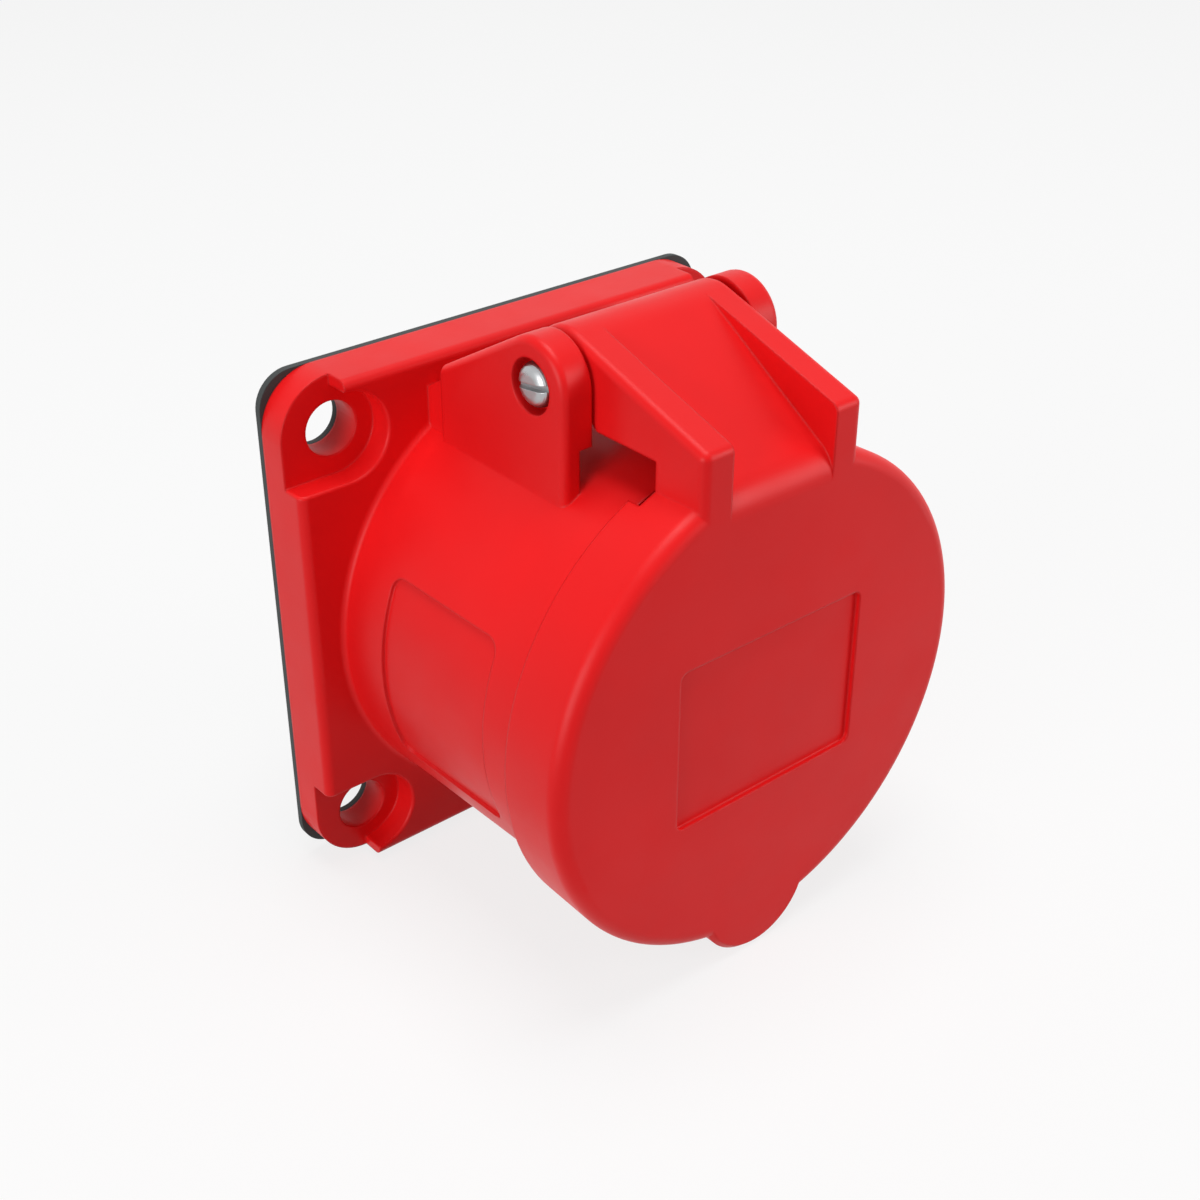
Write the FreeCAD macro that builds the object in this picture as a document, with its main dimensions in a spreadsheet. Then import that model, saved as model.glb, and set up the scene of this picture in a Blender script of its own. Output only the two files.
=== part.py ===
import FreeCAD, Part
import math
import os
import re

import Sketcher

# A panel-mount industrial socket: square flange, round collar and a sprung lid.
# Millimetres. The panel's face is Y = 0, the front faces -Y, +Z is up, and the collar's axis is the Y axis.
# A size that ends in _face is a plane's distance in front of the panel, one in _back its distance behind it.

SIZES = {
    "overlap": (1, "how far a form or a cut reaches past the face that it meets"),
    "flange_side": (75, "side of the square flange"),
    "flange_corner": (8, "corner radius of the flange"),
    "flange_face": (9.3, "flange front"),
    "flange_edge": (1.2, "rounding of the flange's front edge"),
    "gasket_thickness": (1, "panel gasket"),
    "gasket_corner": (5, "corner radius of the gasket"),
    "gasket_bore": (32.6, "radius of the gasket's opening"),
    "pad_face": (5.6, "floor of the corner pads"),
    "pad_radius": (6.2, "round wall of a corner pad"),
    "pad_inset": (0.2, "centre of that wall inside the fixing hole's"),
    "pad_edge": (0.4, "rounding of a pad's rim"),
    "fixing_pitch": (60, "spacing of the fixing holes"),
    "fixing_radius": (3.8, "radius of a fixing hole"),
    "collar_root": (32.9, "collar radius at the panel"),
    "collar_front": (32.4, "collar radius behind its rim"),
    "collar_fillet": (0.8, "rounding where collar meets flange"),
    "shoulder_face": (46.2, "shoulder behind the rim"),
    "rim_radius": (31.4, "outer radius of the rim"),
    "rim_face": (52, "front of the rim"),
    "mouth_radius": (28.6, "bore of the collar"),
    "seat_face": (10, "shoulder that the block's flange seats on"),
    "rear_bore": (29.9, "bore behind that shoulder"),
    "spigot_radius": (31.9, "spigot that passes through the panel"),
    "spigot_back": (6, "end of the spigot"),
    "keyway_width": (8, "keyway at six o'clock"),
    "keyway_radius": (30.2, "bottom of the keyway"),
    "keyway_face": (16, "inner end of the keyway"),
    "side_recess_start": (18, "rear edge of the recess on the collar's side"),
    "side_recess_end": (39.4, "front edge of that recess"),
    "side_recess_half_angle": (24.8, "half of the arc that the recess spans"),
    "side_recess_depth": (0.45, "depth of that recess"),
    "side_recess_corner": (2, "corner radius of that recess"),
    "hinge_face": (31.8, "hinge axis in front of the panel"),
    "hinge_height": (41.2, "hinge axis above the collar's axis"),
    "knuckle_radius": (6.2, "round of the lugs and of the arm"),
    "lug_outer": (18, "outer side of a lug"),
    "lug_plate": (15.5, "inner side of a lug's plate"),
    "lug_inner": (13.6, "inner side of a lug's boss"),
    "boss_drop": (7, "lower end of that boss below the hinge axis"),
    "lug_rear_face": (13.3, "rear edge of a lug"),
    "lug_rear_height": (37.8, "top of that edge"),
    "lug_root_height": (26, "where a lug ends inside the collar's wall"),
    "lug_edge": (1.1, "rounding of a lug's outer edge"),
    "web_outer": (17.3, "outer side of the web behind a lug"),
    "web_inner": (15.9, "inner side of that web"),
    "web_drop": (1.8, "top of that web below the lug's rear edge"),
    "web_fall": (3.2, "how far the web's top falls towards the flange"),
    "pin_radius": (2, "shank of the hinge screw"),
    "pin_thread_radius": (1.5, "threaded end of the hinge screw"),
    "pin_play": (0.07, "running clearance round the hinge screw"),
    "pin_head_radius": (2.9, "head of the hinge screw"),
    "pin_head_length": (2.8, "head of the hinge screw, dome and all"),
    "pin_head_dome": (1.5, "rounding of that head"),
    "pin_slot_width": (0.8, "slot in that head"),
    "pin_slot_depth": (0.9, "depth of that slot"),
    "pin_slot_tilt": (8, "how far that slot is turned from level"),
    "head_recess_radius": (3.6, "recess for the head"),
    "head_recess_depth": (2.6, "depth of that recess"),
    "lid_face": (57.05, "front of the lid"),
    "lid_radius": (35, "lid radius at its front"),
    "lid_skirt_radius": (34.7, "lid radius at the skirt's rear edge"),
    "lid_edge": (2, "rounding of the lid's front edge"),
    "lid_inner_face": (54.4, "inner side of the lid's wall"),
    "lid_bore": (33, "inner radius of the skirt"),
    "skirt_face": (46.8, "rear edge of the skirt"),
    "skirt_notch_face": (48.8, "rear edge of the skirt under the hinge"),
    "skirt_notch_half": (15.4, "half width of that notch"),
    "arm_half": (13.05, "half width of the hinge arm"),
    "rib_inner": (8.5, "inner side of the arm's ribs"),
    "rib_front_height": (39.6, "top of the ribs at the front"),
    "rib_edge": (1.2, "rounding of the ribs' outer edges"),
    "ramp_front_height": (32.6, "foot of the ramp between the ribs, before it is rounded"),
    "ramp_foot": (5, "rounding of that foot"),
    "ramp_wall": (2.2, "thickness of the ramp at its foot"),
    "ramp_under_height": (35.6, "underside of the ramp at the skirt's rear edge"),
    "arm_floor_height": (36.1, "underside of the arm"),
    "arm_root_height": (31, "where the arm ends inside the skirt"),
    "label_half_width": (15.7, "half width of the recess on the lid"),
    "label_half_height": (11.8, "half height of that recess"),
    "label_depth": (0.7, "depth of that recess"),
    "label_corner": (1.2, "corner radius of that recess"),
    "tab_radius": (9.4, "round of the finger tab"),
    "tab_centre": (29.4, "centre of that round below the axis"),
    "tab_thickness": (3, "thickness of the tab"),
    "tab_edge": (0.7, "chamfer of the tab's edges"),
    "locating_rib_inner": (26.4, "inner radius of the rib that keeps the seal in place"),
    "locating_rib_outer": (27.6, "outer radius of that rib"),
    "locating_rib_height": (1.3, "height of that rib"),
    "nose_height": (19, "middle of the retaining nose above the axis"),
    "nose_width": (11, "width of that nose"),
    "nose_thickness": (2.6, "thickness of that nose"),
    "nose_depth": (3.4, "how far that nose stands in from the lid"),
    "seal_inner": (27.9, "inner radius of the lid's seal"),
    "seal_outer": (32.6, "outer radius of the lid's seal"),
    "seal_gap": (0.1, "gap between seal and rim at rest"),
    "spring_pocket_radius": (4.5, "pocket for the spring inside the arm"),
    "spring_pocket_half": (8, "half width of that pocket"),
    "spring_catch_height": (1.6, "edge that the spring lifts, above the hinge axis"),
    "spring_wire": (1, "wire of the hinge spring"),
    "spring_coil_radius": (3, "mean radius of its coils"),
    "spring_pitch": (1.65, "pitch of its coils"),
    "spring_turns": (7, "turns of its coils, rounded up"),
    "spring_leg_turn": (112.5, "where the leg on the collar leaves the coil, past the rear"),
    "spring_leg_length": (13, "length of that leg"),
    "spring_hook_length": (2.8, "length of the hook at the other end"),
    "spring_play": (0.08, "gap between that hook and the edge it lifts"),
    "core_radius": (24, "carrier inside the collar"),
    "core_face": (47.4, "front of the carrier"),
    "core_edge": (0.8, "chamfer of the carrier's front"),
    "block_flange_radius": (29.6, "flange of the terminal block"),
    "block_flange_back_face": (6, "rear of that flange"),
    "ear_offset": (30.6, "screws of the flange's ears from the axis"),
    "ear_radius": (3.2, "round of an ear"),
    "ear_face": (8.4, "front of the ears, hidden in the panel flange"),
    "ear_play": (0.4, "clearance round an ear"),
    "ear_screw_radius": (1.3, "shank of an ear's screw"),
    "ear_screw_length": (9, "length of that shank"),
    "ear_head_radius": (2.6, "head of an ear's screw"),
    "ear_head_height": (1.9, "height of that head"),
    "screw_play": (0.15, "clearance round a screw's shank"),
    "contact_circle": (16, "radius of the circle that the contacts stand on"),
    "contact_angle": (72, "angle from one contact to the next"),
    "sleeve_face": (45.9, "front of the contact sleeves"),
    "sleeve_depth": (24, "depth of their bores"),
    "sleeve_wall": (0.85, "wall of a sleeve"),
    "sleeve_slit": (0.8, "width of the slits in a sleeve"),
    "sleeve_slit_length": (17, "length of those slits"),
    "phase_pin_radius": (2.55, "bore of a phase or neutral sleeve"),
    "earth_pin_radius": (3.55, "bore of the protective sleeve"),
    "entry_play": (0.45, "how much wider the carrier's entry is than a sleeve's bore"),
    "ring_thickness": (0.5, "spring ring on a sleeve"),
    "ring_width": (4, "width of that ring"),
    "ring_setback": (1.5, "ring behind the sleeve's front"),
    "chamber_play": (0.3, "clearance between spring ring and chamber"),
    "collar_thickness": (3, "collar that seats a contact in the carrier"),
    "collar_width": (0.6, "how much wider that collar is than the chamber"),
    "terminal_back": (12, "rear end of a terminal"),
    "terminal_wall": (1.7, "how much thicker a terminal is than its sleeve's bore"),
    "wire_radius": (2.3, "wire entry of a terminal"),
    "wire_depth": (12, "depth of that entry"),
    "nose_length": (0.5, "nose of a terminal, which reaches into the wire funnel"),
    "clamp_back": (9, "terminal screws behind the panel"),
    "clamp_radius": (1.7, "shank of a terminal screw"),
    "clamp_length": (6, "length of a terminal screw"),
    "clamp_reach": (2.5, "where that screw ends, outside the contact's axis"),
    "block_radius": (25, "terminal block"),
    "block_back": (14, "rear of the terminal block"),
    "block_edge": (1.5, "chamfer of its rear edge"),
    "block_play": (0.25, "clearance round a terminal"),
    "funnel_radius": (3.4, "wire funnel in the block"),
    "driver_radius": (2.4, "hole for a screwdriver"),
    "block_screw_radius": (2, "shank of the block's screw"),
    "block_screw_end_face": (20, "end of that screw"),
    "block_screw_head_radius": (3.6, "head of that screw"),
    "block_screw_head_height": (2.4, "height of that head"),
    "block_screw_recess": (5, "depth of the recess for that head"),
}

FULL_TURN = 360
QUARTER_TURN = 90
# Slacks, in millimetres, for finding edges by where they lie.
NEARBY = 0.02
ROUND_ABOUT = 0.1
SAME = 1e-6
CONTACTS = ["contact_pe", "contact_l1", "contact_l2", "contact_l3", "contact_n"]
EARTH = "contact_pe"
SIX_O_CLOCK = -90

doc = FreeCAD.newDocument("PanelSocket")
sheet = doc.addObject("Spreadsheet::Sheet", "Sizes")
for row, (alias, (number, meaning)) in enumerate(SIZES.items(), start=1):
    sheet.set(f"A{row}", meaning)
    sheet.set(f"B{row}", str(number))
    sheet.setAlias(f"B{row}", alias)
doc.recompute()


# Helpers


def bound(text):
    """An expression in which each size's name points at its cell."""
    return re.sub(r"[a-z][a-z_]+", lambda m: f"Sizes.{m[0]}" if m[0] in SIZES else m[0], text)


def value(text):
    """What that expression gives now."""
    return float(sheet.evalExpression(bound(text)))


def bind(thing, path, text):
    thing.setExpression(path, bound(text))


def new_body(name):
    body = doc.addObject("PartDesign::Body", name)
    body.Label = name
    return body


def sketch_on(body, name, role, offset="0"):
    """A sketch on one of the body's own planes. XZ faces the front, and its offset is a distance in front."""
    sketch = body.newObject("Sketcher::SketchObject", f"{body.Name}_{name}")
    plane = next(f for f in body.Origin.OriginFeatures if f.Role == role)
    sketch.AttachmentSupport = [(plane, "")]
    sketch.MapMode = "FlatFace"
    bind(sketch, "AttachmentOffset.Base.z", offset)
    return sketch


def locate(sketch, edge, end, across, up):
    """Places a point of the sketch by its two distances from the origin."""
    for kind, axis, text in (("DistanceX", -2, across), ("DistanceY", -1, up)):
        if text == "0":
            sketch.addConstraint(Sketcher.Constraint("PointOnObject", edge, end, axis))
        else:
            spot = sketch.addConstraint(Sketcher.Constraint(kind, -1, 1, edge, end, value(text)))
            bind(sketch, f"Constraints[{spot}]", text)


def circle(sketch, across, up, radius):
    middle = FreeCAD.Vector(value(across), value(up), 0)
    edge = sketch.addGeometry(Part.Circle(middle, FreeCAD.Vector(0, 0, 1), value(radius)), False)
    locate(sketch, edge, 3, across, up)
    spot = sketch.addConstraint(Sketcher.Constraint("Radius", edge, value(radius)))
    bind(sketch, f"Constraints[{spot}]", radius)


def polygon(sketch, corners, touching=None):
    """A closed outline.

    touching gives the centre and radius of a round: the first corner, left open, is where the last side meets
    that round as a tangent."""
    spots = [FreeCAD.Vector(value(a), value(b), 0) for a, b in corners if a is not None]
    if touching:
        centre, radius = touching
        middle = FreeCAD.Vector(*map(value, centre), 0)
        spots.insert(0, tangent_point(spots[-1], middle, value(radius)))
    first = sketch.GeometryCount
    count = len(spots)
    for here, there in zip(spots, spots[1:] + spots[:1]):
        sketch.addGeometry(Part.LineSegment(here, there), False)
    for side in range(count):
        following = first + (side + 1) % count
        sketch.addConstraint(Sketcher.Constraint("Coincident", first + side, 2, following, 1))
    for side, (across, up) in enumerate(corners):
        if across is not None:
            locate(sketch, first + side, 1, across, up)
    if touching:
        spoke = sketch.addGeometry(Part.LineSegment(middle, spots[0]), True)
        locate(sketch, spoke, 1, *centre)
        sketch.addConstraint(Sketcher.Constraint("Coincident", spoke, 2, first, 1))
        spot = sketch.addConstraint(Sketcher.Constraint("Distance", spoke, value(radius)))
        bind(sketch, f"Constraints[{spot}]", radius)
        sketch.addConstraint(Sketcher.Constraint("Perpendicular", spoke, first + count - 1))


def tangent_point(outside, centre, radius):
    """Where the upper tangent from a point touches a circle."""
    along = centre - outside
    turn = math.asin(radius / along.Length)
    lean = math.atan2(along.y, abs(along.x)) + turn
    side = math.copysign(1, along.x)
    return centre + FreeCAD.Vector(-side * math.sin(lean), math.cos(lean), 0) * radius


def rectangle(sketch, left, right, low, high):
    polygon(sketch, [(left, low), (right, low), (right, high), (left, high)])


def feature(body, kind, name, sketch, length=None, **options):
    made = body.newObject(f"PartDesign::{kind}", f"{body.Name}_{name}")
    made.Profile = sketch
    if length:
        bind(made, "Length", length)
    for option, setting in options.items():
        setattr(made, option, setting)
    sketch.Visibility = False
    doc.recompute()
    return made


def turned(body, kind, name, sketch, axis="H_Axis", angle=None, **options):
    """A revolved or grooved form round one of the sketch's own axes."""
    made = body.newObject(f"PartDesign::{kind}", f"{body.Name}_{name}")
    made.Profile = sketch
    made.ReferenceAxis = (sketch, [axis])
    made.Angle = FULL_TURN
    if angle:
        bind(made, "Angle", angle)
    for option, setting in options.items():
        setattr(made, option, setting)
    doc.recompute()
    return made


def turned_body(name, outline):
    """A body that is one outline of (distance behind the panel, radius) turned round the Y axis."""
    body = new_body(name)
    sketch = sketch_on(body, "outline", "YZ_Plane")
    polygon(sketch, outline)
    turned(body, "Revolution", "turn", sketch)
    return body


def edges_where(shape, test):
    """Names of the edges whose middle point and ends pass the test."""
    names = []
    for number, edge in enumerate(shape.Edges, start=1):
        middle = edge.valueAt((edge.FirstParameter + edge.LastParameter) / 2)
        if test(edge, middle):
            names.append(f"Edge{number}")
    return names


def soften(body, kind, name, size, test):
    """A fillet or chamfer on the edges that pass the test."""
    base = body.Tip
    made = body.newObject(f"PartDesign::{kind}", f"{body.Name}_{name}")
    made.Base = (base, edges_where(base.Shape, test))
    bind(made, "Radius" if kind == "Fillet" else "Size", size)
    doc.recompute()
    return made


def near(one, other, slack=NEARBY):
    return abs(one - other) < slack


def run_of(edge):
    """The step from an edge's one end to its other."""
    return edge.valueAt(edge.LastParameter) - edge.valueAt(edge.FirstParameter)


def is_straight(edge):
    return near(run_of(edge).Length, edge.Length, SAME)


def along_depth(edge):
    """True for a straight edge that runs from front to back."""
    return near(abs(run_of(edge).y), edge.Length, SAME)


# The housing: flange, collar and lugs in one moulding


def build_housing():
    body = new_body("housing")
    flange = sketch_on(body, "flange", "XZ_Plane", "gasket_thickness")
    rectangle(flange, "-flange_side / 2", "flange_side / 2", "-flange_side / 2", "flange_side / 2")
    feature(body, "Pad", "flange_pad", flange, "flange_face - gasket_thickness")
    soften(body, "Fillet", "flange_corners", "flange_corner", lambda edge, middle: along_depth(edge))
    front = value("-flange_face")
    soften(body, "Fillet", "flange_front_edge", "flange_edge", lambda edge, middle: near(middle.y, front))
    cut_corner_pads(body)
    add_collar(body)
    for side in (-1, 1):
        add_lug(body, side)
    cut_bores(body)
    cut_side_recess(body)
    return body


def cut_corner_pads(body):
    """Each corner steps back round its fixing hole: a round wall that runs out level to the side edge."""
    inset = "fixing_pitch / 2 - pad_inset"
    beyond = f"{inset} + flange_corner + pad_edge"
    corners = ((-1, 1), (1, 1), (-1, -1), (1, -1))
    for number, (side, level) in enumerate(corners):
        across = f"{side} * ({inset})"
        up = f"{level} * ({inset})"
        inward = f"{level} * ({inset} - pad_radius)"
        pocket = sketch_on(body, f"pad_round_{number}", "XZ_Plane", "pad_face")
        circle(pocket, across, up, "pad_radius")
        feature(body, "Pocket", f"pad_round_cut_{number}", pocket, "flange_face", Reversed=True)
        run_out = sketch_on(body, f"pad_run_out_{number}", "XZ_Plane", "pad_face")
        far_across = f"{side} * ({beyond})"
        far_up = f"{level} * ({beyond})"
        polygon(run_out, [(across, inward), (far_across, inward), (far_across, far_up), (across, far_up)])
        feature(body, "Pocket", f"pad_run_out_cut_{number}", run_out, "flange_face", Reversed=True)
    front = value("-flange_face")
    side_edge = value("flange_side / 2 - flange_edge")
    soften(
        body,
        "Fillet",
        "pad_rims",
        "pad_edge",
        lambda edge, middle: near(middle.y, front)
        and edge.Length > value("pad_radius / 2")
        and not on_outline(edge, side_edge),
    )
    holes = sketch_on(body, "fixing_holes", "XZ_Plane")
    for side, level in corners:
        circle(holes, f"{side} * fixing_pitch / 2", f"{level} * fixing_pitch / 2", "fixing_radius")
    feature(body, "Pocket", "fixing_hole_cut", holes, "flange_face", Reversed=True)


def on_outline(edge, side_edge):
    """True for an edge that runs along one side of the flange, at that distance from its middle."""
    ends = [vertex.Point for vertex in edge.Vertexes]
    return any(all(near(abs(getattr(end, axis)), side_edge) for end in ends) for axis in "xz")


def add_collar(body):
    """The collar tapers to a shoulder, and a narrower rim stands in front of it inside the lid's skirt."""
    sketch = sketch_on(body, "collar", "YZ_Plane")
    polygon(
        sketch,
        [
            ("-gasket_thickness", "0"),
            ("-gasket_thickness", "collar_root"),
            ("-shoulder_face", "collar_front"),
            ("-shoulder_face", "rim_radius"),
            ("-rim_face", "rim_radius"),
            ("-rim_face", "0"),
        ],
    )
    turned(body, "Revolution", "collar_turn", sketch)
    front = value("-flange_face")
    root = value("collar_root")
    soften(
        body,
        "Fillet",
        "collar_root_fillet",
        "collar_fillet",
        lambda edge, middle: near(middle.y, front)
        and near(math.hypot(middle.x, middle.z), root, ROUND_ABOUT),
    )
    spigot = sketch_on(body, "spigot", "XZ_Plane", "gasket_thickness")
    circle(spigot, "0", "0", "spigot_radius")
    feature(body, "Pad", "spigot_pad", spigot, "gasket_thickness + spigot_back", Reversed=True)


def add_lug(body, side):
    """A plate on the collar with a round head, thicker at its boss, and a low web back to the flange."""
    name = "left" if side < 0 else "right"
    hinge = ("-hinge_face", "hinge_height")
    plate_offset = "-lug_outer" if side < 0 else "lug_plate"
    plate = sketch_on(body, f"{name}_lug", "YZ_Plane", plate_offset)
    polygon(
        plate,
        [
            (None, None),
            hinge,
            ("-hinge_face - knuckle_radius", "hinge_height"),
            ("-hinge_face - knuckle_radius", "lug_root_height"),
            ("-lug_rear_face", "lug_root_height"),
            ("-lug_rear_face", "lug_rear_height"),
        ],
        touching=(hinge, "knuckle_radius"),
    )
    feature(body, "Pad", f"{name}_lug_pad", plate, "lug_outer - lug_plate")
    boss_offset = "-lug_outer" if side < 0 else "lug_inner"
    boss = sketch_on(body, f"{name}_boss", "YZ_Plane", boss_offset)
    circle(boss, *hinge, "knuckle_radius")
    feature(body, "Pad", f"{name}_boss_pad", boss, "lug_outer - lug_inner")
    foot = sketch_on(body, f"{name}_boss_foot", "YZ_Plane", boss_offset)
    rectangle(
        foot,
        "-hinge_face - knuckle_radius",
        "-hinge_face + knuckle_radius",
        "hinge_height - boss_drop",
        "hinge_height",
    )
    feature(body, "Pad", f"{name}_boss_foot_pad", foot, "lug_outer - lug_inner")
    top = "lug_rear_height - web_drop"
    web = sketch_on(body, f"{name}_web", "YZ_Plane", "-web_outer" if side < 0 else "web_inner")
    polygon(
        web,
        [
            ("-flange_face + flange_edge", "lug_root_height"),
            ("-flange_face + flange_edge", f"{top} - web_fall"),
            ("-lug_rear_face", top),
            ("-lug_rear_face", "lug_root_height"),
        ],
    )
    feature(body, "Pad", f"{name}_web_pad", web, "web_outer - web_inner")
    outer = side * value("lug_outer")
    root = value("collar_root")
    soften(
        body,
        "Fillet",
        f"{name}_lug_edges",
        "lug_edge",
        lambda edge, middle: near(middle.x, outer)
        and middle.z > root
        and middle.y < value("-lug_rear_face - overlap"),
    )


def cut_bores(body):
    mouth = sketch_on(body, "mouth", "XZ_Plane", "seat_face")
    circle(mouth, "0", "0", "mouth_radius")
    feature(body, "Pocket", "mouth_cut", mouth, "rim_face", Reversed=True)
    rear = sketch_on(body, "rear_bore", "XZ_Plane", "seat_face")
    circle(rear, "0", "0", "rear_bore")
    feature(body, "Pocket", "rear_bore_cut", rear, "seat_face + spigot_back")
    keyway = sketch_on(body, "keyway", "XZ_Plane", "keyway_face")
    rectangle(keyway, "-keyway_width / 2", "keyway_width / 2", "-keyway_radius", "-core_radius")
    feature(body, "Pocket", "keyway_cut", keyway, "rim_face", Reversed=True)
    ears = sketch_on(body, "ear_recesses", "XZ_Plane", "ear_face")
    for side in (-1, 1):
        circle(ears, f"{side} * ear_offset", "0", "ear_radius + ear_play")
    feature(body, "Pocket", "ear_recess_cut", ears, "ear_face + spigot_back")
    ear_screws = sketch_on(body, "ear_screw_holes", "XZ_Plane", "block_flange_back_face")
    for side in (-1, 1):
        circle(ear_screws, f"{side} * ear_offset", "0", "ear_screw_radius + screw_play")
    feature(body, "Pocket", "ear_screw_hole_cut", ear_screws, "ear_screw_length + screw_play", Reversed=True)
    pin = sketch_on(body, "pin_bore", "YZ_Plane", "-lug_outer")
    circle(pin, "-hinge_face", "hinge_height", "pin_radius + pin_play")
    feature(body, "Pocket", "pin_bore_cut", pin, "2 * lug_inner", Reversed=True)
    thread = sketch_on(body, "pin_thread", "YZ_Plane", "lug_inner - pin_play")
    circle(thread, "-hinge_face", "hinge_height", "pin_thread_radius + pin_play")
    feature(body, "Pocket", "pin_thread_cut", thread, "lug_outer", Reversed=True)
    head = sketch_on(body, "head_recess", "YZ_Plane", "-lug_outer")
    circle(head, "-hinge_face", "hinge_height", "head_recess_radius")
    feature(body, "Pocket", "head_recess_cut", head, "head_recess_depth", Reversed=True)


def cut_side_recess(body):
    """A shallow rounded field on the collar's left side, wrapped round it."""
    sketch = sketch_on(body, "side_recess", "XY_Plane")
    taper = "(collar_root - collar_front) / (shoulder_face - gasket_thickness)"
    floor = f"collar_root - side_recess_depth - {taper}"
    polygon(
        sketch,
        [
            (f"-({floor} * (side_recess_start - gasket_thickness))", "-side_recess_start"),
            (f"-({floor} * (side_recess_end - gasket_thickness))", "-side_recess_end"),
            ("-collar_root - overlap", "-side_recess_end"),
            ("-collar_root - overlap", "-side_recess_start"),
        ],
    )
    turned(body, "Groove", "side_recess_cut", sketch, "V_Axis", "2 * side_recess_half_angle", Midplane=True)
    depth = value("side_recess_depth")
    soften(
        body,
        "Fillet",
        "side_recess_corners",
        "side_recess_corner",
        lambda edge, middle: is_straight(edge)
        and edge.Length < 1.5 * depth
        and middle.x < 0
        and value("-side_recess_end") - ROUND_ABOUT < middle.y < value("-side_recess_start") + ROUND_ABOUT
        and abs(middle.z) < value("mouth_radius"),
    )


def build_gasket():
    body = new_body("panel_gasket")
    sheet_sketch = sketch_on(body, "outline", "XZ_Plane")
    rectangle(sheet_sketch, "-flange_side / 2", "flange_side / 2", "-flange_side / 2", "flange_side / 2")
    feature(body, "Pad", "sheet", sheet_sketch, "gasket_thickness")
    soften(body, "Fillet", "corners", "gasket_corner", lambda edge, middle: along_depth(edge))
    openings = sketch_on(body, "openings", "XZ_Plane")
    circle(openings, "0", "0", "gasket_bore")
    for side in (-1, 1):
        for level in (-1, 1):
            circle(openings, f"{side} * fixing_pitch / 2", f"{level} * fixing_pitch / 2", "fixing_radius")
    feature(body, "Pocket", "openings_cut", openings, "gasket_thickness", Reversed=True)
    ears = sketch_on(body, "ear_openings", "XZ_Plane")
    for side in (-1, 1):
        circle(ears, f"{side} * ear_offset", "0", "ear_radius + ear_play")
    feature(body, "Pocket", "ear_openings_cut", ears, "gasket_thickness", Reversed=True)


# The lid: cap, skirt, hinge arm and finger tab in one moulding


def build_lid():
    body = new_body("lid")
    cap = sketch_on(body, "cap", "YZ_Plane")
    polygon(
        cap,
        [
            ("-lid_face", "0"),
            ("-lid_face", "lid_radius"),
            ("-skirt_face", "lid_skirt_radius"),
            ("-skirt_face", "0"),
        ],
    )
    turned(body, "Revolution", "cap_turn", cap)
    front = value("-lid_face")
    soften(body, "Fillet", "cap_edge", "lid_edge", lambda edge, middle: near(middle.y, front))
    joined = body.newObject("PartDesign::Boolean", "lid_arm_join")
    joined.Type = "Fuse"
    joined.setObjects([build_arm()])
    doc.recompute()
    clear_ramp(body)
    add_tab(body)
    hollow_lid(body)
    furnish_lid(body)
    return body


def build_arm():
    """A barrel on the hinge, a ramp down to the cap's face and a rib on each side of it.

    It is rounded before it joins the cap, because the ribs' corners run into the cap's own rounding."""
    body = new_body("lid_arm")
    hinge = ("-hinge_face", "hinge_height")
    barrel = sketch_on(body, "barrel", "YZ_Plane", "-arm_half")
    circle(barrel, *hinge, "knuckle_radius")
    feature(body, "Pad", "barrel_pad", barrel, "2 * arm_half")
    ramp = sketch_on(body, "ramp", "YZ_Plane", "-rib_inner")
    polygon(
        ramp,
        [
            (None, None),
            ("-hinge_face - knuckle_radius + overlap", "hinge_height + overlap"),
            ("-skirt_notch_face", "ramp_under_height"),
            ("-skirt_notch_face", "arm_root_height + overlap"),
            ("-lid_inner_face", "arm_root_height + overlap"),
            ("-lid_inner_face", "ramp_front_height - ramp_wall"),
            ("-lid_face", "ramp_front_height - ramp_wall"),
            ("-lid_face", "ramp_front_height"),
        ],
        touching=(hinge, "knuckle_radius"),
    )
    feature(body, "Pad", "ramp_pad", ramp, "2 * rib_inner")
    for name, offset in (("left", "-arm_half"), ("right", "rib_inner")):
        rib = sketch_on(body, f"{name}_rib", "YZ_Plane", offset)
        polygon(
            rib,
            [
                (None, None),
                hinge,
                ("-hinge_face - knuckle_radius + overlap", "arm_floor_height"),
                ("-skirt_notch_face", "arm_floor_height"),
                ("-skirt_notch_face", "arm_root_height"),
                ("-lid_inner_face", "arm_root_height"),
                ("-lid_inner_face", "ramp_front_height - ramp_wall"),
                ("-lid_face", "ramp_front_height - ramp_wall"),
                ("-lid_face", "rib_front_height"),
            ],
            touching=(hinge, "knuckle_radius"),
        )
        feature(body, "Pad", f"{name}_rib_pad", rib, "arm_half - rib_inner")
    side = value("arm_half")
    floor = value("arm_floor_height")
    front = value("-lid_face")
    top = value("rib_front_height")
    soften(
        body,
        "Fillet",
        "rib_edges",
        "rib_edge",
        lambda edge, middle: (near(abs(middle.x), side) and middle.z > floor + ROUND_ABOUT)
        or (near(middle.y, front) and (near(abs(middle.x), side) or near(middle.z, top))),
    )
    return body


def clear_ramp(body):
    """Cuts the cap's rim back to the ramp between the ribs, and rounds the ramp into the cap's face."""
    above = sketch_on(body, "above_ramp", "YZ_Plane", "-rib_inner")
    polygon(
        above,
        [
            (None, None),
            ("-lid_face", "hinge_height + knuckle_radius"),
            ("-lid_face", "ramp_front_height"),
        ],
        touching=(("-hinge_face", "hinge_height"), "knuckle_radius"),
    )
    feature(body, "Pocket", "above_ramp_cut", above, "2 * rib_inner", Reversed=True)
    front = value("-lid_face")
    foot = value("ramp_front_height")
    soften(
        body,
        "Fillet",
        "ramp_foot",
        "ramp_foot",
        lambda edge, middle: near(middle.y, front) and near(middle.z, foot) and near(middle.x, 0),
    )


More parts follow.
